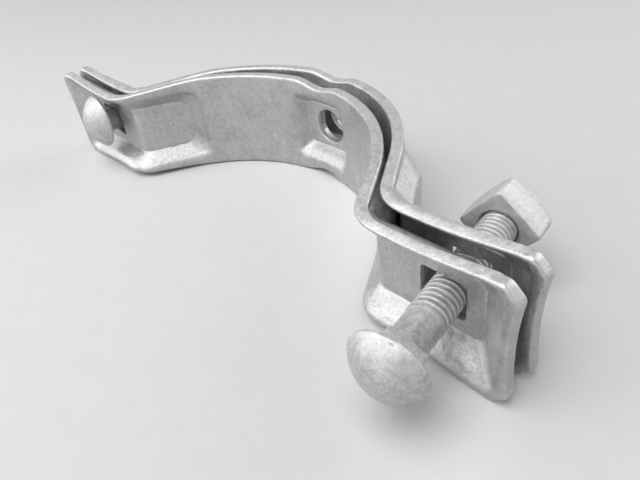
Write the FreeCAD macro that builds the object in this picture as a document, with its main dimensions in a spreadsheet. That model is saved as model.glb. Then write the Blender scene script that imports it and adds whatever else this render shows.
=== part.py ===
"""Pole band clamp: two pressed half bands lying nested, joined by a rivet and a round-head bolt.

Frame: the origin is on the pole's axis at the lower edge of the straps, +Z runs along the pole,
+Y points from the axis to the middle of the front band, and the ears lie along X.
A depth is measured from the strap's face on the pole side, towards its outer face.
"""
import FreeCAD
import Part
import Sketcher
import math
import os

Vector = FreeCAD.Vector
SQUARE = ((-1, -1), (1, -1), (1, 1), (-1, 1))

# Driving dimensions in millimetres and degrees
SIZES = [
    ("strap_width", 50.0),
    ("strap_thickness", 5.0),
    ("pole_radius", 80.0),
    ("arc_half_angle", 60.0),
    ("limb_run", 18.8),
    ("bend_radius", 16.5),
    ("ear_to_hole", 21.5),
    ("hole_to_tip", 31.0),
    ("ear_corner", 5.0),
    ("end_hollow", 1.5),
    ("pressed_wall", 3.8),
    ("channel_depth", 9.5),
    ("channel_limb_depth", 6.5),
    ("channel_border", 4.5),
    ("channel_wall_rise", 4.5),
    ("channel_limb_rise", 8.0),
    ("channel_lead", 7.0),
    ("channel_start_run", 4.5),
    ("channel_past_hole", 16.5),
    ("channel_end_run", 11.0),
    ("channel_edge_sag", 3.5),
    ("channel_sag_margin", 6.0),
    ("dimple_depth", 7.0),
    ("dimple_floor_width", 26.0),
    ("dimple_floor_height", 25.0),
    ("dimple_wall_run", 5.5),
    ("dimple_wall_rise", 4.5),
    ("dimple_edge_sag", 2.7),
    ("dimple_sag_reach", 13.0),
    ("dimple_bore", 17.5),
    ("head_diameter", 28.5),
    ("head_height", 9.3),
    ("head_rim", 1.4),
    ("head_crown", 4.0),
    ("bolt_diameter", 14.0),
    ("ear_hole_side_play", 3.8),
    ("ear_hole_height_play", 1.4),
    ("bolt_length", 87.5),
    ("bolt_stand_off", 24.7),
    ("bolt_yaw", 8.2),
    ("bolt_pitch", 0.3),
    ("bolt_spin", 24.0),
    ("bolt_tip_chamfer", 1.5),
    ("bolt_neck_width", 14.6),
    ("bolt_neck_height", 7.0),
    ("nut_width", 22.6),
    ("nut_height", 14.0),
    ("nut_turn", 41.0),
    ("nut_play", 0.6),
    ("nut_crown_angle", 30.0),
    ("rivet_diameter", 14.0),
    ("rivet_stand_off", 7.5),
    ("rivet_yaw", -6.0),
    ("rivet_pitch", -2.0),
    ("rivet_tail_diameter", 22.0),
    ("rivet_tail_height", 5.0),
    ("rivet_tail_chamfer", 1.0),
    ("rivet_slack", 1.8),
    ("rear_shift", 10.0),
    ("rear_turn", 0.9),
]

doc = FreeCAD.newDocument("pole_band_clamp")
dims = doc.addObject("Spreadsheet::Sheet", "dims")
for row, (alias, size) in enumerate(SIZES, start=1):
    dims.set(f"A{row}", alias)
    dims.set(f"B{row}", str(size))
    dims.setAlias(f"B{row}", alias)
doc.recompute()


def size_of(alias):
    """A driving dimension as a plain number."""
    return float(dims.get(alias))


WIDTH = size_of("strap_width")
THICK = size_of("strap_thickness")
POLE = size_of("pole_radius")
HALF_ANGLE = math.radians(size_of("arc_half_angle"))
BEND = size_of("bend_radius")
ALONG_LIMB = Vector(math.cos(HALF_ANGLE), -math.sin(HALF_ANGLE), 0)
OUT_OF_LIMB = Vector(math.sin(HALF_ANGLE), math.cos(HALF_ANGLE), 0)

# Where the front face of the right half turns from arc to limb, bend and ear
LIMB_START = OUT_OF_LIMB * POLE
LIMB_END = LIMB_START + ALONG_LIMB * size_of("limb_run")
BEND_CENTRE = LIMB_END + OUT_OF_LIMB * BEND
EAR_FACE = BEND_CENTRE.y - BEND
HOLE_X = BEND_CENTRE.x + size_of("ear_to_hole")
TIP_X = HOLE_X + size_of("hole_to_tip")


class PressedWall:
    """A sloping wall of a pressed recess, with the shift of its outer face that keeps it thick enough."""

    def __init__(self, depth, run):
        slope = math.atan2(depth, run)
        self.depth = depth
        self.run = run
        self.per_depth = run / depth
        self.shift = size_of("pressed_wall") / math.sin(slope) - THICK / math.tan(slope)

    def pressed(self, distance):
        """How deep the wall is at a distance from its foot."""
        return self.depth * min(1, max(0, distance / self.run))


def plane(body, role):
    """One of a body's own origin planes."""
    return next(item for item in body.Origin.OriginFeatures if item.Role == role)


def new_body(label):
    body = doc.addObject("PartDesign::Body", label)
    body.Label = label
    return body


def new_sketch(body, name, role, edges, height=None):
    """A sketch on an origin plane, raised along the plane's normal by an expression if one is given."""
    sketch = body.newObject("Sketcher::SketchObject", name)
    sketch.AttachmentSupport = [(plane(body, role), "")]
    sketch.MapMode = "FlatFace"
    if height:
        sketch.setExpression("AttachmentOffset.Base.z", height)
    for edge in edges:
        sketch.addGeometry(edge, False)
    return sketch


def line(start, end):
    return Part.LineSegment(start, end)


def arc(start, middle, end):
    return Part.Arc(start, middle, end)


def closed(points):
    """Straight edges round a list of corners."""
    return [line(start, end) for start, end in zip(points, points[1:] + points[:1])]


def drive(sketch, kind, geometry, value, expression):
    """A driving constraint of one edge, bound to the sheet."""
    index = sketch.addConstraint(Sketcher.Constraint(kind, geometry, value))
    sketch.setExpression(f"Constraints[{index}]", expression)


def on_arc(angle, depth, side=1):
    """A point of the strap's arc, by its angle from the middle."""
    radius = POLE + depth
    return Vector(side * radius * math.sin(angle), radius * math.cos(angle), 0)


def on_bend(angle, depth, side=1):
    """A point of the bend between limb and ear, by the angle that the strap still has to turn."""
    radius = BEND - depth
    return Vector(
        side * (BEND_CENTRE.x - radius * math.sin(angle)), BEND_CENTRE.y - radius * math.cos(angle), 0)


def on_ear(x, depth, side=1):
    return Vector(side * x, EAR_FACE + depth, 0)


def strap_path(limb_depth, ear_depth, start_angle, end_x, side):
    """The strap at a depth of limb and of ear: arc from an angle, limb, bend and ear to a distance."""
    arc_end = on_arc(HALF_ANGLE, limb_depth, side)
    arc_middle = on_arc((start_angle + HALF_ANGLE) / 2, limb_depth, side)
    bend_start = on_bend(HALF_ANGLE, limb_depth, side)
    bend_middle = on_bend(HALF_ANGLE / 2, (limb_depth + ear_depth) / 2, side)
    bend_end = on_bend(0, ear_depth, side)
    return [
        arc(on_arc(start_angle, limb_depth, side), arc_middle, arc_end),
        line(arc_end, bend_start),
        arc(bend_start, bend_middle, bend_end),
        line(bend_end, on_ear(end_x, ear_depth, side)),
    ]


def channel_outline(base, depths, outer_face, side):
    """Outline of the channel across bend and ear, from a base depth to its depths on limb and ear."""
    start_wall = PressedWall(size_of("channel_limb_depth"), size_of("channel_start_run"))
    end_wall = PressedWall(size_of("channel_depth"), size_of("channel_end_run"))
    floor_start = HALF_ANGLE * POLE - size_of("channel_lead")
    mouth_start = floor_start - size_of("channel_start_run")
    mouth_end = HOLE_X + size_of("channel_past_hole") + size_of("channel_end_run")

    def ends(limb_depth, ear_depth):
        start = mouth_start + start_wall.per_depth * limb_depth
        end = mouth_end - end_wall.per_depth * ear_depth
        if outer_face:
            start -= start_wall.shift + start_wall.per_depth * THICK
            end += end_wall.shift + end_wall.per_depth * THICK
        return start / POLE, end

    near = strap_path(base, base, *ends(base, base), side)
    far = strap_path(*depths, *ends(*depths), side)
    start = line(near[0].StartPoint, far[0].StartPoint)
    end = line(near[-1].EndPoint, far[-1].EndPoint)
    return near + [end] + far + [start]


def dimple_outline(base, depths, outer_face):
    """Outline of the dimple in the middle of the strap, from a base depth to a pressed depth."""
    depth = depths[0]
    wall = PressedWall(size_of("dimple_depth"), size_of("dimple_wall_run"))
    mouth = size_of("dimple_floor_width") / 2 + size_of("dimple_wall_run")

    def end_angle(level):
        reach = mouth - wall.per_depth * level
        if outer_face:
            reach += wall.shift + wall.per_depth * THICK
        return reach / POLE

    corners = [on_arc(end_angle(level), level, side) for level in (base, depth) for side in (-1, 1)]
    return [
        arc(corners[0], on_arc(0, base), corners[1]),
        line(corners[1], corners[3]),
        arc(corners[2], on_arc(0, depth), corners[3]),
        line(corners[2], corners[0]),
    ]


def press_recess(body, name, outline, walls, border):
    """Presses a recess into the strap: first the bulge on its outer face, then the hollow inside.

    Each wall rises from the border up the strap, and the outline takes the depths that they reach.
    """
    passes = (("PartDesign::AdditiveLoft", f"{name}_bulge", True, THICK / 2, THICK),
              ("PartDesign::SubtractiveLoft", f"{name}_hollow", False, -THICK / 2, 0))
    for kind, loft_name, outer_face, base, surface in passes:
        feet = [-wall.shift if outer_face else 0 for wall in walls]
        stops = sorted(set(feet + [foot + wall.run for foot, wall in zip(feet, walls)]))
        lower = []
        for stop in stops:
            depths = [surface + wall.pressed(stop - foot) for foot, wall in zip(feet, walls)]
            lower.append((outline(base, depths, outer_face), f"{border} + ({stop})"))
        upper = [(edges, f"dims.strap_width - ({height})") for edges, height in reversed(lower)]
        sketches = [new_sketch(body, f"{loft_name}_level", "XY_Plane", edges, height)
                    for edges, height in lower + upper]
        loft = body.newObject(kind, loft_name)
        loft.Profile = sketches[0]
        loft.Sections = sketches[1:]
        loft.Ruled = True


def edge_sag(start, end, sag):
    """An edge that the pressing draws in between two places along X, as seen from the front."""
    return (Vector(start, 0, 0), Vector((start + end) / 2, sag, 0), Vector(end, 0, 0))


def front_outline():
    """The band seen from the front: edges drawn in beside the recesses, hollow ends and cut corners."""
    corner = size_of("ear_corner")
    dimple_reach = size_of("dimple_sag_reach")
    channel_start = on_arc(HALF_ANGLE - size_of("channel_lead") / POLE, 0).x - size_of("channel_sag_margin")
    channel_sag = edge_sag(channel_start, TIP_X - corner, size_of("channel_edge_sag"))
    dimple_sag = edge_sag(-dimple_reach, dimple_reach, size_of("dimple_edge_sag"))
    left_sag = [Vector(-point.x, point.y, 0) for point in reversed(channel_sag)]
    lower = [*left_sag, *dimple_sag, *channel_sag]
    upper = [Vector(point.x, WIDTH - point.y, 0) for point in lower]

    edges = []
    for stops in (lower, upper):
        edges += [arc(*stops[0:3]), line(stops[2], stops[3]), arc(*stops[3:6]), line(stops[5], stops[6]),
                  arc(*stops[6:9])]
    for side in (-1, 1):
        low = Vector(side * TIP_X, corner, 0)
        high = Vector(side * TIP_X, WIDTH - corner, 0)
        middle = Vector(side * (TIP_X - size_of("end_hollow")), WIDTH / 2, 0)
        edges += [line(Vector(side * (TIP_X - corner), 0, 0), low), arc(low, middle, high),
                  line(high, Vector(side * (TIP_X - corner), WIDTH, 0))]
    return edges


def cut_along_y(body, sketch, name):
    """Cuts a sketch drawn in the XZ plane right through the band, both ways."""
    cut = body.newObject("PartDesign::Pocket", name)
    cut.Profile = sketch
    cut.Midplane = True
    cut.setExpression("Length", "4 * dims.pole_radius")
    return cut


def make_band(label):
    """One half band: a bent strap with a channel over each bend, a dimple in the middle and three holes."""
    body = new_body(label)
    half = strap_path(0, 0, 0, TIP_X, 1)
    other_half = strap_path(0, 0, 0, TIP_X, -1)
    back = strap_path(THICK, THICK, 0, TIP_X, 1)
    other_back = strap_path(THICK, THICK, 0, TIP_X, -1)
    ends = [line(on_ear(TIP_X, 0, side), on_ear(TIP_X, THICK, side)) for side in (-1, 1)]
    plan = new_sketch(body, "strap_plan", "XY_Plane", half + other_half + back + other_back + ends)
    drive(plan, "Radius", 0, POLE, "dims.pole_radius")
    drive(plan, "Radius", 2, BEND, "dims.bend_radius")
    strap = body.newObject("PartDesign::Pad", "strap")
    strap.Profile = plan
    strap.setExpression("Length", "dims.strap_width")

    limb_wall = PressedWall(size_of("channel_limb_depth"), size_of("channel_limb_rise"))
    ear_wall = PressedWall(size_of("channel_depth"), size_of("channel_wall_rise"))
    for side, name in ((1, "right_channel"), (-1, "left_channel")):
        press_recess(body, name, lambda base, depths, outer: channel_outline(base, depths, outer, side),
                     [limb_wall, ear_wall], "dims.channel_border")
    dimple_wall = PressedWall(size_of("dimple_depth"), size_of("dimple_wall_rise"))
    press_recess(body, "dimple", dimple_outline, [dimple_wall],
                 "(dims.strap_width - dims.dimple_floor_height) / 2 - dims.dimple_wall_rise")

    frame = closed([Vector(x * 2 * TIP_X, WIDTH / 2 + z * WIDTH, 0) for x, z in SQUARE])
    cut_along_y(body, new_sketch(body, "front_outline", "XZ_Plane", front_outline() + frame), "trimmed_edges")

    hole_width = size_of("bolt_diameter") + size_of("ear_hole_side_play")
    hole_height = size_of("bolt_diameter") + size_of("ear_hole_height_play")
    dimple_bore = size_of("dimple_bore")
    holes = [Part.Circle(Vector(0, WIDTH / 2, 0), Vector(0, 0, 1), dimple_bore / 2)]
    for side in (-1, 1):
        holes += closed([Vector(side * HOLE_X + x * hole_width / 2, WIDTH / 2 + z * hole_height / 2, 0)
                         for x, z in SQUARE])
    punched = new_sketch(body, "holes", "XZ_Plane", holes)
    drive(punched, "Diameter", 0, dimple_bore, "dims.dimple_bore")
    cut_along_y(body, punched, "punched_holes")
    return body


def turned(body, name, edges):
    """A solid of revolution about local Z, from a half profile in the XZ plane."""
    profile = new_sketch(body, f"{name}_profile", "XZ_Plane", edges)
    revolved = body.newObject("PartDesign::Revolution", name)
    revolved.Profile = profile
    revolved.ReferenceAxis = (profile, ["V_Axis"])
    revolved.Angle = 360
    return revolved


def round_headed(body, name, shank):
    """A turned fastener: a dome with a small flat crown below local Z = 0, and the corners of its shank above."""
    radius = size_of("head_diameter") / 2
    height = size_of("head_height")
    rim = size_of("head_rim")
    flat = size_of("head_crown") / 2
    centre = (flat ** 2 + height ** 2 - radius ** 2 - rim ** 2) / (2 * (height - rim))
    sphere = math.hypot(flat, height - centre)
    lean = (math.asin(radius / sphere) + math.asin(flat / sphere)) / 2
    middle = Vector(sphere * math.sin(lean), -centre - sphere * math.cos(lean), 0)
    shoulder = Vector(radius, -rim, 0)
    crown = Vector(flat, -height, 0)
    top = Vector(0, -height, 0)
    corners = [shoulder, Vector(radius, 0, 0), *shank, top, crown]
    turned(body, name, [line(a, b) for a, b in zip(corners, corners[1:])] + [arc(crown, middle, shoulder)])


def make_bolt(label):
    """Round-head bolt with a square neck, its head's underside on local Z = 0."""
    body = new_body(label)
    shank = size_of("bolt_diameter") / 2
    length = size_of("bolt_length")
    chamfer = size_of("bolt_tip_chamfer")
    round_headed(body, "turned_bolt", [
        Vector(shank, 0, 0), Vector(shank, length - chamfer, 0), Vector(shank - chamfer, length, 0),
        Vector(0, length, 0)])
    half_neck = size_of("bolt_neck_width") / 2
    neck = closed([Vector(x * half_neck, y * half_neck, 0) for x, y in SQUARE])
    square_neck = body.newObject("PartDesign::Pad", "square_neck")
    square_neck.Profile = new_sketch(body, "neck_section", "XY_Plane", neck)
    square_neck.setExpression("Length", "dims.bolt_neck_height")
    return body


def make_nut(label):
    """Square nut with its corners bevelled on the outer side, its inner face on local Z = 0."""
    body = new_body(label)
    half = size_of("nut_width") / 2
    height = size_of("nut_height")
    corners = closed([Vector(x * half, y * half, 0) for x, y in SQUARE])
    block = body.newObject("PartDesign::Pad", "nut_block")
    block.Profile = new_sketch(body, "nut_section", "XY_Plane", corners)
    block.setExpression("Length", "dims.nut_height")
    doc.recompute()

    bore = size_of("bolt_diameter") + size_of("nut_play")
    hole = new_sketch(body, "nut_bore", "XY_Plane", [Part.Circle(Vector(), Vector(0, 0, 1), bore / 2)])
    drive(hole, "Diameter", 0, bore, "dims.bolt_diameter + dims.nut_play")
    bored = body.newObject("PartDesign::Pocket", "bored")
    bored.Profile = hole
    bored.Midplane = True
    bored.setExpression("Length", "4 * dims.nut_height")

    reach = half * 2
    drop = (reach - half) * math.tan(math.radians(size_of("nut_crown_angle")))
    bevel = closed([Vector(half, height, 0), Vector(reach, height, 0), Vector(reach, height - drop, 0)])
    crown = body.newObject("PartDesign::Groove", "bevelled_corners")
    crown.Profile = new_sketch(body, "crown_profile", "XZ_Plane", bevel)
    crown.ReferenceAxis = (crown.Profile[0], ["V_Axis"])
    crown.Angle = 360
    return body


def make_rivet(label):
    """Rivet with a domed head and a flat closed head, the domed head's underside on local Z = 0."""
    body = new_body(label)
    shank = size_of("rivet_diameter") / 2
    tail = size_of("rivet_tail_diameter") / 2
    chamfer = size_of("rivet_tail_chamfer")
    grip = size_of("rivet_stand_off") + size_of("rear_shift") + THICK + size_of("rivet_slack")
    end = grip + size_of("rivet_tail_height")
    round_headed(body, "turned_rivet", [
        Vector(shank, 0, 0), Vector(shank, grip, 0), Vector(tail, grip, 0), Vector(tail, end - chamfer, 0),
        Vector(tail - chamfer, end, 0), Vector(0, end, 0)])
    return body


# Both halves are the same; the rear one lies behind the front one, turned a little about its left hole
front_band = make_band("front_band")
rear_band = make_band("rear_band")
pivot = on_ear(HOLE_X, size_of("channel_depth"), -1)
turn = FreeCAD.Rotation(Vector(0, 0, 1), size_of("rear_turn"))
shift = Vector(0, size_of("rear_shift"), 0)
rear_band.Placement = FreeCAD.Placement(shift + pivot - turn.multVec(pivot), turn)


def leaning(name):
    """The turn that lays a fastener along Y and leans it sideways and up or down."""
    sideways = FreeCAD.Rotation(Vector(0, 0, 1), size_of(f"{name}_yaw"))
    upwards = FreeCAD.Rotation(Vector(1, 0, 0), size_of(f"{name}_pitch"))
    along_y = FreeCAD.Rotation(Vector(0, 0, 1), Vector(0, 1, 0))
    return sideways.multiply(upwards).multiply(along_y)


def head_seat(side, axis, y):
    """Where a fastener through the middle of a pair of ear holes has its head's underside, near a given Y."""
    front_hole = on_ear(HOLE_X, size_of("channel_depth"), side)
    rear_hole = rear_band.Placement.multVec(front_hole + Vector(0, THICK, 0))
    middle = (front_hole + rear_hole) * 0.5 + Vector(0, 0, WIDTH / 2)
    return middle - axis * (middle.y - y)


# The rivet lies loosely in the left ears' holes, its domed head standing off the channel floor
rivet = make_rivet("rivet")
rivet_lean = leaning("rivet")
rivet_axis = rivet_lean.multVec(Vector(0, 0, 1))
rivet_y = EAR_FACE + size_of("channel_depth") - size_of("rivet_stand_off")
rivet.Placement = FreeCAD.Placement(head_seat(-1, rivet_axis, rivet_y), rivet_lean)

# The bolt lies loosely in the right ears' holes, leaning as far as they let it
bolt = make_bolt("bolt")
bolt_lean = leaning("bolt")
bolt_axis = bolt_lean.multVec(Vector(0, 0, 1))
under_head = head_seat(1, bolt_axis, EAR_FACE - size_of("bolt_stand_off"))
bolt_spin = FreeCAD.Rotation(Vector(0, 0, 1), size_of("bolt_spin"))
bolt.Placement = FreeCAD.Placement(under_head, bolt_lean.multiply(bolt_spin))

# The nut is screwed on flush with the bolt's end
nut = make_nut("nut")
nut_start = under_head + bolt_axis * (size_of("bolt_length") - size_of("nut_height"))
nut_spin = FreeCAD.Rotation(Vector(0, 0, 1), size_of("nut_turn"))
nut.Placement = FreeCAD.Placement(nut_start, bolt_lean.multiply(nut_spin))

doc.recompute()

pieces = [front_band, rear_band, rivet, bolt, nut]
failed = [item.Name for item in doc.Objects if "Invalid" in item.State or "Error" in item.State]
if failed:
    raise RuntimeError(f"failed features: {failed}")
for piece in pieces:
    if piece.Shape.isNull() or not piece.Shape.isValid() or len(piece.Shape.Solids) != 1:
        raise RuntimeError(f"{piece.Label} is not one valid solid")

os.makedirs("parts", exist_ok=True)
for piece in pieces:
    piece.Shape.exportStep(f"parts/{piece.Label}.step")
    box = piece.Shape.BoundBox
    print(piece.Label, f"volume {piece.Shape.Volume:.0f}", f"faces {len(piece.Shape.Faces)}",
          f"x {box.XMin:.1f} {box.XMax:.1f} y {box.YMin:.1f} {box.YMax:.1f} z {box.ZMin:.1f} {box.ZMax:.1f}")
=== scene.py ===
"""Galvanised pole band clamp: two nested pressed half bands, a rivet, and a bolt with a square nut.

Lengths are in millimetres until a mesh is made. Meshes, floor and lamps are in metres.
"""
import math

import bmesh
import bpy
import numpy as np
from mathutils import Matrix, Vector


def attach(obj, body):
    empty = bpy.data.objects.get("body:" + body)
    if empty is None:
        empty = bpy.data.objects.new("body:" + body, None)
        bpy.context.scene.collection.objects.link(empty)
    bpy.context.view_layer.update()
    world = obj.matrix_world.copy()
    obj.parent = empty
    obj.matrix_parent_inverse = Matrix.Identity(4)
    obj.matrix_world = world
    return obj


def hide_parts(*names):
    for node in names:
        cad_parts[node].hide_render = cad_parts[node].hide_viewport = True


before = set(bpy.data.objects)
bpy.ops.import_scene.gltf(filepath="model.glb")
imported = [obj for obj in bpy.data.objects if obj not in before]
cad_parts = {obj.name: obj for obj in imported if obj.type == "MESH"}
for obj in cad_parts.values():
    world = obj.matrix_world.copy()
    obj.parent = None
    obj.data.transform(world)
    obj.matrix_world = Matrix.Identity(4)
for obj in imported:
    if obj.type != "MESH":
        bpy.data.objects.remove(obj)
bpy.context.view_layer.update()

MM = 0.001

# The strap and its path: arc round the pole, straight limb, bend and ear
WIDTH = 50.0
THICK = 5.0
POLE = 80.0
HALF_ANGLE = math.radians(60.0)
LIMB_RUN = 18.8
BEND = 16.5
BEND_LEAD = 4.0
EAR_TO_HOLE = 21.5
HOLE_TO_TIP = 31.0
EAR_CORNER = 5.0
CORNER_BLEND = 1.2
END_HOLLOW = 1.5
END_BLEND = 14.0
EDGE_ROUND = 1.2

# The pressed channel over limb, bend and ear: its depths, the lips and feet of its side walls, the runs
# of its end walls, and how far it draws the strap's edges in. On the ear the lower lip is the wider one.
CHANNEL_DEPTH = 9.5
CHANNEL_LIMB_DEPTH = 6.5
CHANNEL_LIP = 0.8
CHANNEL_LOW_LIP = 2.4
LOW_LIP_TOP = 0.45 * WIDTH
HIGH_LIP_FOOT = 0.55 * WIDTH
CHANNEL_LIMB_LIP = 5.0
CHANNEL_FOOT = 10.8
CHANNEL_LIMB_FOOT = 12.0
CHANNEL_LEAD = 7.0
CHANNEL_START_RUN = 9.5
CHANNEL_PAST_HOLE = 16.5
CHANNEL_END_RUN = 11.0
CHANNEL_SAG = 3.5
CHANNEL_SAG_MARGIN = 6.0
CHANNEL_SAG_SHAPE = 1.2

# The pressed dimple in the middle
DIMPLE_DEPTH = 6.98
DIMPLE_FLOOR_WIDTH = 26.0
DIMPLE_FLOOR_HEIGHT = 25.0
DIMPLE_RUN = 5.5
DIMPLE_RISE = 4.5
DIMPLE_SAG = 2.7
DIMPLE_SAG_REACH = 15.0

# Rounding where two walls meet, bending radii half way through the sheet at a recess's lip and foot,
# and the sheet's thickness on a steep wall, with the slopes between which it gets thinner
WALL_ROUND = 7.0
CHANNEL_LIP_BEND = 3.2
LIMB_LIP_BEND = 6.0
DIMPLE_LIP_BEND = 5.0
FOOT_BEND = 3.7
PRESSED_WALL = 3.8
THINNING_SLOPES = (0.2, 0.75)

# Measuring the formulas' slopes: the step to each side, and the least slope and least facing that count
PROBE = 0.05
LEAST_SLOPE = 0.3
LEAST_FACING = 0.05

# Holes, their worn edges, and how far a punch reaches past the sheet
EAR_HOLE_WIDTH = 17.8
EAR_HOLE_HEIGHT = 15.4
EAR_HOLE_CORNER = 1.5
DIMPLE_BORE = 17.5
HOLE_FLARE = 0.3
PUNCH_BEYOND = 4.0

# Domed heads of rivet and bolt: the edge is given by inset and height
HEAD_RADIUS = 14.25
HEAD_HEIGHT = 9.3
HEAD_RIM = 1.4
HEAD_CROWN = 0.03
HEAD_STEPS = 26
HEAD_EDGE = ((0.0, -0.75), (0.15, -0.35), (0.45, -0.08), (0.9, 0.0), (3.0, 0.0))

# The bolt
BOLT_RADIUS = 7.0
BOLT_LENGTH = 87.5
BOLT_STAND_OFF = 24.7
BOLT_YAW = math.radians(8.2)
BOLT_PITCH = math.radians(0.3)
BOLT_SPIN = math.radians(24.0)
BOLT_TIP = 1.5

# Its thread: the flanks are shares of half a turn, the run-out is in turns, and it starts inside the shank
THREAD_START = 20.5
THREAD_LEAD = 0.7
THREAD_PITCH = 2.3
THREAD_DEPTH = 1.5
THREAD_CLEARANCE = 0.05
THREAD_FLANK = (0.28, 0.98)
THREAD_RUN_OUT = 1.2
THREAD_ROWS_PER_TURN = 14
THREAD_COLUMNS = 72

# Its square neck, by growth, corner and height of each ring, and its shank, by growth and height
NECK_WIDTH = 14.6
NECK_HEIGHT = 7.0
NECK_RINGS = ((2.0, 3.2, 0.05), (0.9, 2.2, 0.35), (0.3, 1.4, 0.9), (0.0, 0.9, 1.8),
              (0.0, 0.9, NECK_HEIGHT - 0.5), (-0.15, 1.0, NECK_HEIGHT - 0.15), (-0.45, 1.2, NECK_HEIGHT))
SHANK_RADIUS = 6.7
SHANK_RINGS = ((0.3, NECK_HEIGHT + 0.15), (0.0, NECK_HEIGHT + 0.8), (0.0, THREAD_START - 0.2),
               (-0.9, THREAD_START))

# The nut, with its rounded edges
NUT_WIDTH = 22.6
NUT_HEIGHT = 14.0
NUT_TURN = math.radians(41.0)
NUT_BORE = 7.3
NUT_CROWN = math.radians(30.0)
NUT_CORNER = 1.6
NUT_EDGE = 0.9
NUT_FOOT_EDGE = 0.8
NUT_EDGE_CUT = 0.25
NUT_RIM_CUT = 0.3
NUT_CROWN_DROP = 0.05
NUT_FLAT_STEPS = 20
NUT_CORNER_STEPS = 8

# The rivet
RIVET_RADIUS = 6.6
RIVET_FILLET = 0.8
RIVET_STAND_OFF = 7.5
RIVET_YAW = math.radians(-1.5)
RIVET_PITCH = math.radians(-7.0)
RIVET_SLACK = 1.8
RIVET_TAIL_RADIUS = 11.0
RIVET_TAIL_HEIGHT = 5.0
RIVET_TAIL_RIM = 0.4
RIVET_TAIL_EDGE = 1.0
RIVET_TAIL_BEVEL = 0.3
RIVET_TAIL_MIDDLE = 2.0

# The rear half band lies behind the front one, turned a little about its left hole
REAR_SHIFT = 10.0
REAR_TURN = math.radians(0.9)

# Edges sharper than these angles stay sharp in the shading
BAND_SHARP = math.radians(45.0)
FASTENER_SHARP = math.radians(32.0)
THREAD_SHARP = math.radians(50.0)

# Surroundings, in metres: the floor's colour near the object and for bounced light, its grain, where it
# turns into the far backdrop, and the world's own light
FLOOR_TONE = 0.86
FLOOR_GRAIN = 0.02
FLOOR_GRAIN_SCALE = 90.0
FLOOR_ROUGHNESS = 0.85
FLOOR_BOUNCE = 0.25
FLOOR_NEAR = 0.45
FLOOR_FAR = 1.0
FLOOR_REACH = 3.0
FLOOR_DROP = 0.0002
BACKDROP_TONE = 0.78
WORLD_LIGHT = 0.05

# Camera: focal length and picture width in pixels, angles, and place in millimetres
FOCAL_PIXELS = 561.55
PICTURE_PIXELS = 640.0
SENSOR_WIDTH = 36.0
NEAR_CLIP = 0.01
AZIMUTH = math.radians(51.42)
ELEVATION = math.radians(38.04)
ROLL = math.radians(-8.82)
CAMERA_PLACE = (192.82, -84.62, 155.76)

# Lamps: name, place, size and power, all facing one point
LAMP_AIM = (0.02, 0.04, 0.025)
LAMPS = (("left_light", (-0.85, -0.6, 0.5), 0.8, 4.0),
         ("front_light", (0.0, -0.9, 0.6), 0.8, 1.8),
         ("overhead_light", (-0.03, -0.28, 1.15), 1.0, 9.4),
         ("back_light", (0.45, 0.9, 0.5), 0.7, 3.0))

# The path's turning points in plan, and the path lengths from the middle at which its stretches end
OUT_OF_LIMB = np.array([math.sin(HALF_ANGLE), math.cos(HALF_ANGLE)])
ALONG_LIMB = np.array([math.cos(HALF_ANGLE), -math.sin(HALF_ANGLE)])
LIMB_START = OUT_OF_LIMB * POLE
BEND_CENTRE = LIMB_START + ALONG_LIMB * LIMB_RUN + OUT_OF_LIMB * BEND
EAR_FACE = BEND_CENTRE[1] - BEND
EAR_FLOOR = EAR_FACE + CHANNEL_DEPTH
HOLE_X = BEND_CENTRE[0] + EAR_TO_HOLE
TIP_X = HOLE_X + HOLE_TO_TIP
ARC_END = HALF_ANGLE * POLE
LIMB_END = ARC_END + LIMB_RUN
BEND_END = LIMB_END + HALF_ANGLE * BEND
EAR_END = BEND_END + TIP_X - BEND_CENTRE[0]

# Fineness of the meshes. Stations along the strap are furthest apart on the plain arc, and those across it
# are closest where its walls bend. At the ear's end the section shrinks. Doubled points merge, in metres.
DIMPLE_STRETCH = 21.0
MOUTH_STRETCH = 16.0
STATION_STOPS = (0.0, DIMPLE_STRETCH, ARC_END - MOUTH_STRETCH, ARC_END, BEND_END, EAR_END - EDGE_ROUND)
STATION_SPACINGS = (0.6, 1.6, 0.5, 0.7, 0.75)
FACE_STEPS = 76
FACE_SHARES = (0.0, 0.08, 0.42, 0.58, 0.92, 1.0)
FACE_HEIGHTS = (0.0, 0.06, 0.32, 0.68, 0.94, 1.0)
ROUND_STEPS = 4
END_SHRINK = 0.8
RIM_SHRINK = 0.6
RING_POINTS = 96
MERGE = 0.00001

# Where the rear half band lies
LEFT_HOLE = Vector((-HOLE_X, EAR_FLOOR, 0.0)) * MM
REAR_PLACE = (Matrix.Translation(Vector((0.0, REAR_SHIFT * MM, 0.0)) + LEFT_HOLE)
              @ Matrix.Rotation(REAR_TURN, 4, "Z") @ Matrix.Translation(-LEFT_HOLE))


def smooth_step(low, high, value):
    share = np.clip((value - low) / (high - low), 0.0, 1.0)
    return share * share * (3.0 - 2.0 * share)


def soft_min(first, second, blend):
    """The smaller of two depths, rounded off where they meet."""
    near = np.maximum(blend - np.abs(first - second), 0.0) / blend
    return np.minimum(first, second) - near * near * blend / 4.0


def soft_max(first, second, blend):
    return -soft_min(-first, -second, blend)


def bent(rise, slope, radius):
    """A sheet that turns from zero up a slope round a bend of true radius, by the slope's own rise."""
    along = rise / slope
    turn = np.arctan(slope)
    reach = radius * np.tan(turn / 2)
    inside = np.clip(along + reach, 0.0, radius * np.sin(turn))
    return np.where(along < reach * np.cos(turn), radius - np.sqrt(radius ** 2 - inside ** 2), rise)


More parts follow.
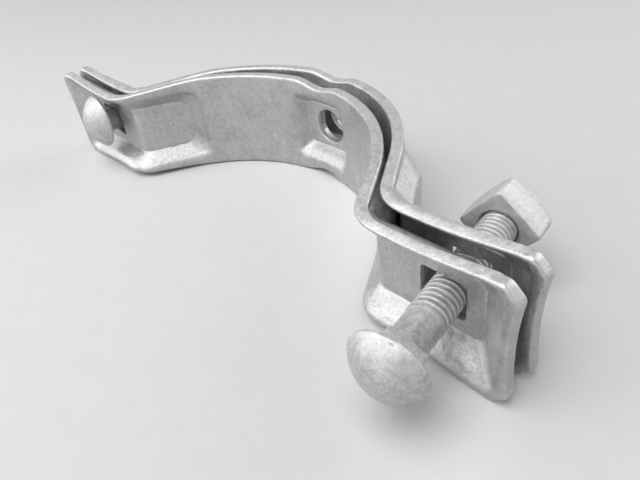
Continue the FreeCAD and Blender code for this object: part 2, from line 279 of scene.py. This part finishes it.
def recess(walls, floor, lip_bend, run, z):
    """Depth of a pressed recess with rounded lip and foot, from the depth of its walls."""
    along = walls(run + PROBE, z) - walls(run - PROBE, z)
    across = walls(run, z + PROBE) - walls(run, z - PROBE)
    slope = np.maximum(np.hypot(along, across) / (2 * PROBE), LEAST_SLOPE)
    down = floor - bent(floor - walls(run, z), slope, FOOT_BEND)
    return bent(down, slope, lip_bend)


def strap_plan(run):
    """Plan points and outward normals of the strap's pole-side face, by path length from the middle."""
    side = np.where(run < 0, -1.0, 1.0)
    far = np.abs(run)
    angle = np.clip(far, 0.0, ARC_END) / POLE
    left = HALF_ANGLE - np.clip(far - LIMB_END, 0.0, HALF_ANGLE * BEND) / BEND
    on_limb = far - ARC_END
    on_ear = far - BEND_END
    x = np.where(far < ARC_END, POLE * np.sin(angle), LIMB_START[0] + ALONG_LIMB[0] * on_limb)
    y = np.where(far < ARC_END, POLE * np.cos(angle), LIMB_START[1] + ALONG_LIMB[1] * on_limb)
    x = np.where(far < LIMB_END, x, BEND_CENTRE[0] - BEND * np.sin(left) + np.maximum(on_ear, 0.0))
    y = np.where(far < LIMB_END, y, BEND_CENTRE[1] - BEND * np.cos(left))
    turn = np.where(far < LIMB_END, angle, left)
    return side * x, y, side * np.sin(turn), np.cos(turn)


def limb_to_ear(run, limb, ear):
    """A size that changes from its value on the limb to its value on the ear, round the bend."""
    return limb + (ear - limb) * smooth_step(LIMB_END - BEND_LEAD, BEND_END, np.abs(run))


def channel_floor(run):
    return limb_to_ear(run, CHANNEL_LIMB_DEPTH, CHANNEL_DEPTH)


def channel_sag(run):
    """How far the pressed channel draws the strap's edges in."""
    x = np.abs(strap_plan(run)[0])
    start = POLE * math.sin(HALF_ANGLE - CHANNEL_LEAD / POLE) - CHANNEL_SAG_MARGIN
    share = np.clip((x - start) / (TIP_X - EAR_CORNER - start), 0.0, 1.0)
    return CHANNEL_SAG * np.sin(math.pi * share) ** CHANNEL_SAG_SHAPE


def channel_walls(run, z):
    """Depth of the channel's walls, which slope on past its lip and its floor."""
    far = np.abs(run)
    mouth_start = ARC_END - CHANNEL_LEAD - CHANNEL_START_RUN
    mouth_end = BEND_END + HOLE_X + CHANNEL_PAST_HOLE + CHANNEL_END_RUN - BEND_CENTRE[0]
    start_wall = (far - mouth_start) * CHANNEL_LIMB_DEPTH / CHANNEL_START_RUN
    end_wall = (mouth_end - far) * CHANNEL_DEPTH / CHANNEL_END_RUN
    upper = smooth_step(LOW_LIP_TOP, HIGH_LIP_FOOT, z)
    ear_lip = CHANNEL_LOW_LIP + (CHANNEL_LIP - CHANNEL_LOW_LIP) * upper
    border = limb_to_ear(run, CHANNEL_LIMB_LIP, channel_sag(run) + ear_lip)
    foot = limb_to_ear(run, CHANNEL_LIMB_FOOT, CHANNEL_FOOT)
    side_wall = (np.minimum(z, WIDTH - z) - border) * channel_floor(run) / (foot - border)
    return soft_min(soft_min(side_wall, start_wall, WALL_ROUND), end_wall, WALL_ROUND)


def dimple_walls(run, z):
    """Depth of the dimple's walls, which slope on past its lip and its floor."""
    mouth = DIMPLE_FLOOR_WIDTH / 2 + DIMPLE_RUN
    border = (WIDTH - DIMPLE_FLOOR_HEIGHT) / 2 - DIMPLE_RISE
    end_wall = (mouth - np.abs(run)) * DIMPLE_DEPTH / DIMPLE_RUN
    side_wall = (np.minimum(z, WIDTH - z) - border) * DIMPLE_DEPTH / DIMPLE_RISE
    return soft_min(side_wall, end_wall, WALL_ROUND)


def middle_surface(run, z):
    """Points half way through the strap, with the recesses pressed in and the ear's end hollowed."""
    x, y, nx, ny = strap_plan(run)
    lip_bend = limb_to_ear(run, LIMB_LIP_BEND, CHANNEL_LIP_BEND)
    depth = recess(channel_walls, channel_floor(run), lip_bend, run, z)
    depth = depth + recess(dimple_walls, DIMPLE_DEPTH, DIMPLE_LIP_BEND, run, z) + THICK / 2
    x = x + nx * depth
    y = y + ny * depth
    hollow = END_HOLLOW * np.maximum(1.0 - ((z - WIDTH / 2) / (WIDTH / 2 - EAR_CORNER)) ** 2, 0.0)
    towards_end = np.clip((np.abs(x) - TIP_X + END_BLEND) / END_BLEND, 0.0, 1.0)
    x = x - np.sign(x) * hollow * towards_end ** 2
    return np.stack([x, y, z + 0.0 * x], axis=-1)


def drawn_in(run):
    """How far the pressing draws the strap's edges in, and how the ear's corners are cut."""
    x = np.abs(strap_plan(run)[0])
    dimple_share = np.clip(x / DIMPLE_SAG_REACH, 0.0, 1.0)
    sag = channel_sag(run) + DIMPLE_SAG * (0.5 + 0.5 * np.cos(math.pi * dimple_share))
    return soft_max(sag, x - TIP_X + EAR_CORNER, CORNER_BLEND)


def strap_section(run, shrink):
    """Heights, insets and sides of the stations round the strap's cross-section, with rounded edges."""
    low = drawn_in(run) + shrink
    high = WIDTH - low
    rim = EDGE_ROUND - shrink * RIM_SHRINK
    up = np.interp(np.linspace(0.0, 1.0, FACE_STEPS + 1), FACE_SHARES, FACE_HEIGHTS)[:, None]
    face = low + rim + (high - low - 2 * rim) * up
    turn = np.linspace(0.0, math.pi / 2, ROUND_STEPS + 1)[1:, None]
    drop = rim * (1.0 - np.cos(turn))
    upper = high - rim + rim * np.sin(turn)
    lower = low + rim - rim * np.sin(turn)
    flat = np.zeros_like(face)
    heights = [face, upper, upper[::-1], face[::-1], lower, lower[::-1]]
    insets = [flat, drop, drop[::-1], flat, drop, drop[::-1]]
    sides = [np.full_like(height, side)
             for height, side in zip(heights, (-1.0, -1.0, 1.0, 1.0, 1.0, -1.0))]
    return np.concatenate(heights), np.concatenate(insets) + shrink, np.concatenate(sides)


def band_mesh(name):
    """The half band without holes, as one closed mesh swept along its path."""
    stretches = [np.linspace(low, high, int((high - low) / spacing) + 1)[1:]
                 for low, high, spacing in zip(STATION_STOPS, STATION_STOPS[1:], STATION_SPACINGS)]
    stations = np.concatenate([[0.0]] + stretches)
    turn = np.linspace(0.0, math.pi / 2, ROUND_STEPS + 1)[1:]
    shrink = np.concatenate([np.zeros_like(stations), EDGE_ROUND * (1.0 - np.cos(turn)) * END_SHRINK])
    stations = np.concatenate([stations, EAR_END - EDGE_ROUND * (1.0 - np.sin(turn))])
    stations = np.concatenate([-stations[:0:-1], stations])[None, :]
    shrink = np.concatenate([shrink[:0:-1], shrink])[None, :]
    z, inset, side = strap_section(stations, shrink)
    run = stations + 0.0 * z

    lengthwise = middle_surface(run + PROBE, z) - middle_surface(run - PROBE, z)
    upright = middle_surface(run, z + PROBE) - middle_surface(run, z - PROBE)
    normal = np.cross(upright, lengthwise)
    normal /= np.linalg.norm(normal, axis=-1, keepdims=True)
    out_x, out_y = strap_plan(run)[2:]
    facing = np.clip(normal[..., 0] * out_x + normal[..., 1] * out_y, LEAST_FACING, 1.0)
    slope = np.sqrt(1.0 - facing ** 2) / facing
    thick = THICK - (THICK - PRESSED_WALL) * smooth_step(*THINNING_SLOPES, slope)
    points = middle_surface(run, z) + normal * (side * (thick / 2 - inset))[..., None]

    rows, columns = run.shape
    index = np.arange(rows * columns).reshape(rows, columns)
    after = np.roll(index, -1, axis=0)
    faces = np.stack([index[:, :-1], after[:, :-1], after[:, 1:], index[:, 1:]], axis=-1).reshape(-1, 4)
    half = rows // 2
    caps = []
    for column, flip in ((0, True), (columns - 1, False)):
        loop = index[:, column]
        back = loop[::-1]
        cap = np.stack([loop[:half - 1], loop[1:half], back[1:half], back[:half - 1]], axis=-1)
        caps.append(cap[:, ::-1] if flip else cap)
    return outward(new_mesh(name, points.reshape(-1, 3), np.concatenate([faces] + caps)))


def new_mesh(name, points, faces):
    """A mesh in metres from points in millimetres."""
    mesh = bpy.data.meshes.new(name)
    mesh.from_pydata((np.asarray(points) * MM).tolist(), [], [list(map(int, face)) for face in faces])
    mesh.update()
    return mesh


def outward(mesh):
    """Merges the doubled points of a closed mesh and turns its faces outwards."""
    work = bmesh.new()
    work.from_mesh(mesh)
    bmesh.ops.remove_doubles(work, verts=work.verts, dist=MERGE)
    bmesh.ops.recalc_face_normals(work, faces=work.faces)
    work.to_mesh(mesh)
    work.free()
    mesh.update()
    return mesh


def ring_mesh(name, rings, bored=False):
    """A closed mesh through rings of points, with flat caps, or back to the first ring round a bore."""
    points = np.concatenate(rings)
    index = np.arange(len(points)).reshape(len(rings), -1)
    after = np.roll(index, -1, axis=1)
    faces = []
    for low in range(len(rings) if bored else len(rings) - 1):
        high = (low + 1) % len(rings)
        faces += zip(index[low], after[low], after[high], index[high])
    caps = [] if bored else [index[0][::-1], index[-1]]
    return outward(new_mesh(name, points, faces + caps))


def circle_ring(radius, height):
    angle = np.linspace(0.0, 2 * math.pi, RING_POINTS, endpoint=False)
    heights = np.full(RING_POINTS, height)
    return np.stack([radius * np.cos(angle), radius * np.sin(angle), heights], axis=-1)


def square_ring(half_width, half_depth, corner, height):
    """A ring round a rectangle with rounded corners, with as many stations on each quarter."""
    points = []
    for turn, (x, y) in enumerate(((1, 1), (-1, 1), (-1, -1), (1, -1))):
        angle = math.pi / 2 * (turn + np.linspace(0.0, 1.0, RING_POINTS // 4))
        points.append(np.stack([x * (half_width - corner) + corner * np.cos(angle),
                                y * (half_depth - corner) + corner * np.sin(angle)], axis=-1))
    outline = np.concatenate(points)
    return np.concatenate([outline, np.full((len(outline), 1), height)], axis=1)


def head_rings():
    """Rings of a domed head from just beside its crown to its underside, which is at zero height."""
    rise = HEAD_HEIGHT - HEAD_RIM
    sphere = (HEAD_RADIUS ** 2 + rise ** 2) / (2 * rise)
    spread = math.asin(HEAD_RADIUS / sphere)
    dome = [circle_ring(sphere * math.sin(lean), sphere * (1 - math.cos(lean)) - HEAD_HEIGHT)
            for lean in spread * np.linspace(HEAD_CROWN, 1.0, HEAD_STEPS)]
    return dome + [circle_ring(HEAD_RADIUS - inset, height) for inset, height in HEAD_EDGE]


def hole_cutter(name, outline, near):
    """A cutter along Y through a recess's floor, a little wider where it breaks through the faces."""
    far = near + THICK
    wide = PUNCH_BEYOND + HOLE_FLARE
    rings = []
    for y, grow in ((near - PUNCH_BEYOND, wide), (near + HOLE_FLARE, 0.0),
                    (far - HOLE_FLARE, 0.0), (far + PUNCH_BEYOND, wide)):
        points = outline(grow)
        rings.append(np.stack([points[:, 0], np.full(len(points), y), points[:, 1]], axis=-1))
    cutter = bpy.data.objects.new(name, ring_mesh(name, rings))
    bpy.context.scene.collection.objects.link(cutter)
    return cutter


def ear_hole_outline(x):
    """The outline of an ear's hole at a given X, as a function of how far it grows."""
    def outline(grow):
        ring = square_ring(EAR_HOLE_WIDTH / 2 + grow, EAR_HOLE_HEIGHT / 2 + grow,
                           EAR_HOLE_CORNER + grow, 0.0)
        return ring[:, :2] + np.array([x, WIDTH / 2])
    return outline


def dimple_hole_outline(grow):
    return circle_ring(DIMPLE_BORE / 2 + grow, 0.0)[:, :2] + np.array([0.0, WIDTH / 2])


def plain_mesh(piece):
    """The piece's mesh with its modifiers applied, which are then removed."""
    bpy.context.view_layer.update()
    graph = bpy.context.evaluated_depsgraph_get()
    mesh = bpy.data.meshes.new_from_object(piece.evaluated_get(graph))
    piece.modifiers.clear()
    return mesh


def punched_band():
    """The half band with its three holes, in its own place."""
    band = bpy.data.objects.new("band_blank", band_mesh("band_blank"))
    bpy.context.scene.collection.objects.link(band)
    cutters = [
        hole_cutter("bolt_punch", ear_hole_outline(HOLE_X), EAR_FLOOR),
        hole_cutter("rivet_punch", ear_hole_outline(-HOLE_X), EAR_FLOOR),
        hole_cutter("dimple_punch", dimple_hole_outline, POLE + DIMPLE_DEPTH),
    ]
    for cutter in cutters:
        punch = band.modifiers.new(cutter.name, "BOOLEAN")
        punch.operation = "DIFFERENCE"
        punch.solver = "EXACT"
        punch.object = cutter
    mesh = plain_mesh(band)
    for scrap in [band] + cutters:
        bpy.data.objects.remove(scrap)
    return mesh


def finished_piece(name, mesh, place, node, material, sharp=FASTENER_SHARP):
    """A piece of the clamp: its mesh put in place, shaded, hung under the root and given its finish, with
    the part it stands for hidden.
    """
    mesh.name = name
    mesh.transform(place)
    mesh.shade_smooth()
    mesh.set_sharp_from_angle(angle=sharp)
    mesh.materials.clear()
    mesh.materials.append(material)
    piece = bpy.data.objects.new(name, mesh)
    bpy.context.scene.collection.objects.link(piece)
    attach(piece, "root")
    if node:
        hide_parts(node)


def new_node(tree, kind, inputs, **settings):
    """A node with its settings, and with each input set to a constant or linked to another node."""
    node = tree.nodes.new(kind)
    for name, value in settings.items():
        setattr(node, name, value)
    for key, value in inputs.items():
        if isinstance(value, bpy.types.NodeSocket):
            tree.links.new(value, node.inputs[key])
        else:
            node.inputs[key].default_value = value
    return node


def math_node(tree, operation, *values):
    return new_node(tree, "ShaderNodeMath", dict(enumerate(values)), operation=operation).outputs[0]


def eased(tree, value, low, high, first=0.0, last=1.0):
    """A value that goes smoothly from first to last while another goes from low to high."""
    inputs = {"Value": value, "From Min": low, "From Max": high, "To Min": first, "To Max": last}
    ease = new_node(tree, "ShaderNodeMapRange", inputs, interpolation_type="SMOOTHSTEP")
    return ease.outputs["Result"]


def thread_tree():
    """Node tree of a screw thread: a tube whose radius follows the helix, run out and chamfered."""
    tree = bpy.data.node_groups.new("screw_thread", "GeometryNodeTree")
    tree.is_modifier = True
    inputs = {}
    for label, kind in (("Radius", "Float"), ("Length", "Float"), ("Pitch", "Float"), ("Depth", "Float"),
                        ("Chamfer", "Float"), ("Rows", "Int"), ("Columns", "Int"), ("Finish", "Material")):
        socket = tree.interface.new_socket(label, in_out="INPUT", socket_type="NodeSocket" + kind)
        inputs[label] = socket.identifier
    tree.interface.new_socket("Geometry", in_out="OUTPUT", socket_type="NodeSocketGeometry")
    source = tree.nodes.new("NodeGroupInput").outputs
    result = tree.nodes.new("NodeGroupOutput").inputs

    def calc(operation, *values):
        return math_node(tree, operation, *values)

    tube = new_node(tree, "GeometryNodeMeshCylinder",
                    {"Vertices": source["Columns"], "Side Segments": source["Rows"],
                     "Radius": source["Radius"], "Depth": source["Length"]}, fill_type="TRIANGLE_FAN")
    place = tree.nodes.new("GeometryNodeInputPosition").outputs[0]
    x, y, z = new_node(tree, "ShaderNodeSeparateXYZ", {0: place}).outputs
    half = calc("MULTIPLY", source["Length"], 0.5)
    from_start = calc("ADD", z, half)
    to_end = calc("SUBTRACT", half, z)
    turn = calc("DIVIDE", calc("ARCTAN2", y, x), 2 * math.pi)
    phase = calc("FRACT", calc("SUBTRACT", calc("DIVIDE", from_start, source["Pitch"]), turn))
    valley = calc("ABSOLUTE", calc("SUBTRACT", calc("MULTIPLY", phase, 2.0), 1.0))
    groove = eased(tree, valley, *THREAD_FLANK)
    run_out = eased(tree, from_start, 0.0, calc("MULTIPLY", source["Pitch"], THREAD_RUN_OUT))
    cut = calc("MULTIPLY", calc("MULTIPLY", groove, run_out), source["Depth"])
    threaded = calc("SUBTRACT", source["Radius"], cut)
    tip = calc("ADD", calc("SUBTRACT", source["Radius"], source["Chamfer"]), to_end)
    factor = calc("DIVIDE", calc("MINIMUM", threaded, tip), source["Radius"])
    moved = new_node(tree, "ShaderNodeCombineXYZ",
                     {0: calc("MULTIPLY", x, factor), 1: calc("MULTIPLY", y, factor), 2: from_start})
    shaped = new_node(tree, "GeometryNodeSetPosition",
                      {"Geometry": tube.outputs["Mesh"], "Position": moved.outputs[0]})
    realized = new_node(tree, "GeometryNodeRealizeInstances", {0: shaped.outputs[0]})
    finish = new_node(tree, "GeometryNodeSetMaterial",
                      {"Geometry": realized.outputs[0], "Material": source["Finish"]})
    tree.links.new(finish.outputs[0], result[0])
    return tree, inputs


def thread_mesh(length, material):
    """The bolt's thread as a closed mesh that starts at zero height."""
    tree, inputs = thread_tree()
    holder = bpy.data.objects.new("thread_holder", bpy.data.meshes.new("thread_holder"))
    bpy.context.scene.collection.objects.link(holder)
    modifier = holder.modifiers.new("screw_thread", "NODES")
    modifier.node_group = tree
    sizes = {"Radius": BOLT_RADIUS - THREAD_CLEARANCE, "Length": length, "Pitch": THREAD_PITCH,
             "Depth": THREAD_DEPTH, "Chamfer": BOLT_TIP,
             "Rows": round(length / THREAD_PITCH * THREAD_ROWS_PER_TURN), "Columns": THREAD_COLUMNS,
             "Finish": material}
    for label, value in sizes.items():
        modifier[inputs[label]] = value
    mesh = plain_mesh(holder)
    bpy.data.objects.remove(holder)
    mesh.transform(Matrix.Scale(MM, 4))
    return outward(mesh)


def bolt_mesh():
    """Head, square neck and plain shank, with the underside of the head at zero height."""
    half = NECK_WIDTH / 2
    neck = [square_ring(half + grow, half + grow, corner, height) for grow, corner, height in NECK_RINGS]
    shank = [circle_ring(SHANK_RADIUS + grow, height) for grow, height in SHANK_RINGS]
    return ring_mesh("bolt_blank", head_rings() + neck + shank)


def nut_mesh():
    """Square nut with its inner face at zero height and its outer corners bevelled."""
    half = NUT_WIDTH / 2
    inner = half - NUT_CORNER
    flat = np.linspace(-1.0, 1.0, NUT_FLAT_STEPS + 1)[:-1] * inner
    turn = np.linspace(0.0, math.pi / 2, NUT_CORNER_STEPS + 1)[:-1]
    quarter = np.concatenate([np.stack([np.full(NUT_FLAT_STEPS, half), flat], axis=-1),
                              np.stack([np.cos(turn), np.sin(turn)], axis=-1) * NUT_CORNER + inner])
    side = np.concatenate([quarter @ np.array([[np.cos(a), np.sin(a)], [-np.sin(a), np.cos(a)]])
                           for a in np.arange(4) * math.pi / 2])
    reach = np.linalg.norm(side, axis=1)
    slope = math.tan(NUT_CROWN)
    top = NUT_HEIGHT - np.maximum(reach - half, 0.0) * slope

    def ring(radius, height):
        outline = side * (radius / reach)[:, None]
        return np.concatenate([outline, np.broadcast_to(height, reach.shape)[:, None]], axis=1)

    return ring_mesh("nut_blank", [
        ring(NUT_BORE + NUT_EDGE, 0.0),
        ring(reach - NUT_FOOT_EDGE, 0.0),
        ring(reach - NUT_EDGE_CUT, NUT_EDGE_CUT),
        ring(reach, NUT_FOOT_EDGE),
        ring(reach, top - NUT_EDGE),
        ring(reach - NUT_RIM_CUT, top - NUT_EDGE_CUT),
        ring(reach - NUT_EDGE, top + NUT_EDGE * slope - NUT_CROWN_DROP),
        ring(np.minimum(reach, half) - NUT_EDGE, NUT_HEIGHT),
        ring(NUT_BORE + NUT_EDGE, NUT_HEIGHT),
        ring(NUT_BORE, NUT_HEIGHT - NUT_EDGE),
        ring(NUT_BORE, NUT_EDGE),
    ], bored=True)


def rivet_mesh():
    """Rivet with a domed head below zero height and a flat closed head above its grip."""
    grip = RIVET_STAND_OFF + REAR_SHIFT + THICK + RIVET_SLACK
    end = grip + RIVET_TAIL_HEIGHT
    tail = RIVET_TAIL_RADIUS
    profile = ((RIVET_RADIUS + RIVET_FILLET, 0.0), (RIVET_RADIUS, RIVET_FILLET), (RIVET_RADIUS, grip),
               (tail - RIVET_TAIL_RIM, grip), (tail, grip + RIVET_TAIL_RIM),
               (tail, end - RIVET_TAIL_EDGE), (tail - RIVET_TAIL_BEVEL, end - RIVET_TAIL_BEVEL),
               (tail - RIVET_TAIL_EDGE, end), (RIVET_TAIL_MIDDLE, end))
    return ring_mesh("rivet_blank", head_rings() + [circle_ring(*station) for station in profile])


def leaning(side, yaw, pitch, y):
    """Place of a fastener through the middle of a pair of ear holes, its head's underside near a Y."""
    upright = Matrix.Rotation(-math.pi / 2, 4, "X")
    lean = Matrix.Rotation(yaw, 4, "Z") @ Matrix.Rotation(pitch, 4, "X") @ upright
    axis = (lean @ Vector((0.0, 0.0, 1.0, 0.0))).to_3d()
    front_hole = Vector((side * HOLE_X, EAR_FLOOR, 0.0)) * MM
    rear_hole = REAR_PLACE @ (front_hole + Vector((0.0, THICK, 0.0)) * MM)
    middle = (front_hole + rear_hole) / 2 + Vector((0.0, 0.0, WIDTH / 2)) * MM
    return Matrix.Translation(middle - axis * (middle.y - y * MM)) @ lean


def along(height, spin=0.0):
    """A place further along a fastener's own axis, turned about it."""
    return Matrix.Translation(Vector((0.0, 0.0, height)) * MM) @ Matrix.Rotation(spin, 4, "Z")


def galvanised(name, tint, metal, dullness, streak=0.0, bloom=0.5, painted_hollow_shade=0.0):
    """Hot-dip galvanised steel: clouded grey zinc with fine grain, pale bloom and pits, painted shade
    darkening its hollows, and edges lightened partly as rubbed wear and partly as a painted highlight.
    """
    material = bpy.data.materials.new(name)
    material.use_nodes = True
    tree = material.node_tree
    shader = tree.nodes["Principled BSDF"]
    where = tree.nodes.new("ShaderNodeTexCoord").outputs["Object"]

    def layer(scale, detail, rough, low, high, stretch=None):
        """Where a noise shows: not at all at its low value, and fully at its high one."""
        vector = where
        if stretch:
            vector = new_node(tree, "ShaderNodeMapping", {"Vector": where, "Scale": stretch}).outputs[0]
        noise = new_node(tree, "ShaderNodeTexNoise",
                         {"Vector": vector, "Scale": scale, "Detail": detail, "Roughness": rough})
        return eased(tree, noise.outputs["Fac"], low, high)

    def faded(shown, amount):
        return math_node(tree, "MULTIPLY", shown, amount)

    def total(*shares):
        """The sum of layers, each by its own amount."""
        result = faded(*shares[0])
        for share in shares[1:]:
            result = math_node(tree, "ADD", result, faded(*share))
        return result

    def mixed(factor, first, second):
        mix = new_node(tree, "ShaderNodeMix", {"Factor": factor, 6: first, 7: second}, data_type="RGBA")
        return mix.outputs[2]

    def shade(brightness):
        return (*(channel * brightness for channel in tint), 1.0)

    clouds = layer(scale=110.0, detail=4.0, rough=0.6, low=0.34, high=0.66)
    mottle = layer(scale=480.0, detail=4.0, rough=0.65, low=0.38, high=0.62)
    grain = layer(scale=1300.0, detail=3.0, rough=0.6, low=0.35, high=0.65)
    patches = layer(scale=170.0, detail=3.0, rough=0.55, low=0.56, high=0.74)
    pits = layer(scale=620.0, detail=2.0, rough=0.5, low=0.66, high=0.74)
    lines = layer(scale=700.0, detail=2.0, rough=0.5, low=0.35, high=0.65, stretch=(1.0, 1.0, 0.03))
    bulge = tree.nodes.new("ShaderNodeNewGeometry").outputs["Pointiness"]
    # Painted shade: concave places such as thread grooves are darkened, by an amount set for each finish
    hollow = eased(tree, bulge, low=0.44, high=0.496, first=1.0, last=0.0)
    # Convex edges made lighter and smoother: partly rubbed wear, partly a painted highlight along the
    # rounded edges
    worn_and_highlit_edge = eased(tree, bulge, low=0.515, high=0.58)

    oxide_grey = 0.8
    oxide_share = 0.2
    oxide_lift = 1.16
    oxide = (*(oxide_share * oxide_grey + (1 - oxide_share) * channel * oxide_lift
               for channel in tint), 1.0)

    # Over the clouded ground: where each layer shows, how much of it, and in which colour. The hollow
    # layer is painted shade, and the edge layer is partly rubbed wear and partly painted highlight.
    colour = mixed(clouds, shade(0.78), shade(1.04))
    for shown, amount, over in ((mottle, 0.7, shade(1.22)), (grain, 0.45, shade(0.72)),
                                (patches, bloom, oxide), (lines, streak, shade(0.8)),
                                (pits, 0.5, shade(0.5)), (hollow, painted_hollow_shade, shade(0.35)),
                                (worn_and_highlit_edge, 0.35, shade(1.22))):
        if amount:
            colour = mixed(faded(shown, amount), colour, over)
    tree.links.new(colour, shader.inputs["Base Color"])

    rough = total((clouds, 0.1), (mottle, 0.12), (worn_and_highlit_edge, -0.06))
    tree.links.new(math_node(tree, "ADD", rough, dullness), shader.inputs["Roughness"])
    shader.inputs["Metallic"].default_value = metal
    shader.inputs["Specular IOR Level"].default_value = 0.5

    relief = total((mottle, 0.5), (grain, 0.2), (patches, 0.35), (pits, -0.8), (lines, streak * 0.4))
    bump = new_node(tree, "ShaderNodeBump", {"Strength": 0.5, "Distance": 0.0002, "Height": relief})
    tree.links.new(bump.outputs[0], shader.inputs["Normal"])
    return material


def seen_directly(tree):
    """One for camera, glossy and transmission rays, and zero for the rays that light the object."""
    path = tree.nodes.new("ShaderNodeLightPath").outputs
    glossy = math_node(tree, "MAXIMUM", path["Is Camera Ray"], path["Is Glossy Ray"])
    return math_node(tree, "MAXIMUM", glossy, path["Is Transmission Ray"])


def floor_finish():
    """Plain pale paper with a hint of grain, which throws little light back up and stays pale far away."""
    material = bpy.data.materials.new("pale_paper")
    material.use_nodes = True
    tree = material.node_tree
    shader = tree.nodes["Principled BSDF"]
    where = tree.nodes.new("ShaderNodeTexCoord").outputs["Object"]
    seen = seen_directly(tree)

    grain = new_node(tree, "ShaderNodeTexNoise", {"Vector": where, "Scale": FLOOR_GRAIN_SCALE})
    tone = new_node(tree, "ShaderNodeMapRange",
                    {"Value": grain.outputs["Fac"], "To Min": FLOOR_TONE - FLOOR_GRAIN,
                     "To Max": FLOOR_TONE + FLOOR_GRAIN})
    paper = new_node(tree, "ShaderNodeMix", {"Factor": seen, "A": FLOOR_BOUNCE, "B": tone.outputs[0]})
    tree.links.new(paper.outputs[0], shader.inputs["Base Color"])
    shader.inputs["Roughness"].default_value = FLOOR_ROUGHNESS

    distance = new_node(tree, "ShaderNodeVectorMath", {0: where}, operation="LENGTH")
    far = eased(tree, distance.outputs["Value"], FLOOR_NEAR, FLOOR_FAR)
    pale = new_node(tree, "ShaderNodeEmission",
                    {"Color": (BACKDROP_TONE, BACKDROP_TONE, BACKDROP_TONE, 1.0)})
    blend = new_node(tree, "ShaderNodeMixShader",
                     {0: math_node(tree, "MULTIPLY", far, seen), 1: shader.outputs[0], 2: pale.outputs[0]})
    tree.links.new(blend.outputs[0], tree.nodes["Material Output"].inputs["Surface"])
    return material


def studio_world():
    """A dim world that shows as a pale backdrop to the camera and in reflections."""
    world = bpy.data.worlds.new("studio")
    world.use_nodes = True
    tree = world.node_tree
    background = tree.nodes["Background"]
    background.inputs["Color"].default_value = (1.0, 1.0, 1.0, 1.0)
    level = new_node(tree, "ShaderNodeMix",
                     {"Factor": seen_directly(tree), "A": WORLD_LIGHT, "B": BACKDROP_TONE})
    tree.links.new(level.outputs[0], background.inputs["Strength"])
    return world


def soft_box(name, place, size, power):
    """A square studio light that faces the object."""
    data = bpy.data.lights.new(name, "AREA")
    data.energy = power
    data.size = size
    lamp = bpy.data.objects.new(name, data)
    lamp.location = place
    lamp.rotation_euler = (Vector(LAMP_AIM) - Vector(place)).to_track_quat("-Z", "Y").to_euler()
    bpy.context.scene.collection.objects.link(lamp)


# Finishes
strap_finish = galvanised("galvanised_strap", tint=(0.575, 0.585, 0.595), metal=0.75, dullness=0.31,
                          streak=0.3, bloom=0.35)
# The fastener finish paints shade into its hollows, such as the thread's grooves
fastener_finish = galvanised("galvanised_fastener", tint=(0.66, 0.66, 0.655), metal=0.55, dullness=0.38,
                             bloom=0.55, painted_hollow_shade=0.6)

# The two half bands
front_mesh = punched_band()
rear_mesh = front_mesh.copy()
finished_piece("front_half_band", front_mesh, Matrix.Identity(4), "front_band",
               strap_finish, BAND_SHARP)
finished_piece("rear_half_band", rear_mesh, REAR_PLACE, "rear_band", strap_finish,
               BAND_SHARP)

# The rivet through the left ears
rivet_place = leaning(-1, RIVET_YAW, RIVET_PITCH, EAR_FLOOR - RIVET_STAND_OFF)
finished_piece("button_rivet", rivet_mesh(), rivet_place, "rivet", fastener_finish)

# The bolt through the right ears, and its nut
bolt_place = leaning(1, BOLT_YAW, BOLT_PITCH, EAR_FACE - BOLT_STAND_OFF)
thread_root = THREAD_START - THREAD_LEAD
finished_piece("round_head_bolt", bolt_mesh(), bolt_place @ along(0.0, BOLT_SPIN), "bolt",
               fastener_finish)
finished_piece("bolt_thread", thread_mesh(BOLT_LENGTH - thread_root, fastener_finish),
               bolt_place @ along(thread_root), None, fastener_finish, THREAD_SHARP)
finished_piece("square_nut", nut_mesh(), bolt_place @ along(BOLT_LENGTH - NUT_HEIGHT, NUT_TURN), "nut",
               fastener_finish)

# Floor
floor_mesh = bpy.data.meshes.new("floor")
floor_corners = [(x * FLOOR_REACH, y * FLOOR_REACH, 0.0) for x, y in ((-1, -1), (1, -1), (1, 1), (-1, 1))]
floor_mesh.from_pydata(floor_corners, [], [(0, 1, 2, 3)])
floor_mesh.materials.append(floor_finish())
floor = bpy.data.objects.new("floor", floor_mesh)
floor.location.z = -FLOOR_DROP
bpy.context.scene.collection.objects.link(floor)

# Camera
camera_data = bpy.data.cameras.new("camera")
camera_data.sensor_width = SENSOR_WIDTH
camera_data.lens = FOCAL_PIXELS / PICTURE_PIXELS * SENSOR_WIDTH
camera_data.clip_start = NEAR_CLIP
camera = bpy.data.objects.new("camera", camera_data)
back = Vector((math.sin(AZIMUTH) * math.cos(ELEVATION), -math.cos(AZIMUTH) * math.cos(ELEVATION),
               math.sin(ELEVATION)))
right = Vector((math.cos(AZIMUTH), math.sin(AZIMUTH), 0.0))
up = back.cross(right)
rolled_right = right * math.cos(ROLL) + up * math.sin(ROLL)
rolled_up = up * math.cos(ROLL) - right * math.sin(ROLL)
camera_turn = Matrix((rolled_right, rolled_up, back)).transposed().to_4x4()
camera.matrix_world = Matrix.Translation(Vector(CAMERA_PLACE) * MM) @ camera_turn
bpy.context.scene.collection.objects.link(camera)
bpy.context.scene.camera = camera

# Light
for lamp_settings in LAMPS:
    soft_box(*lamp_settings)
bpy.context.scene.world = studio_world()
bpy.context.scene.view_settings.view_transform = "Standard"
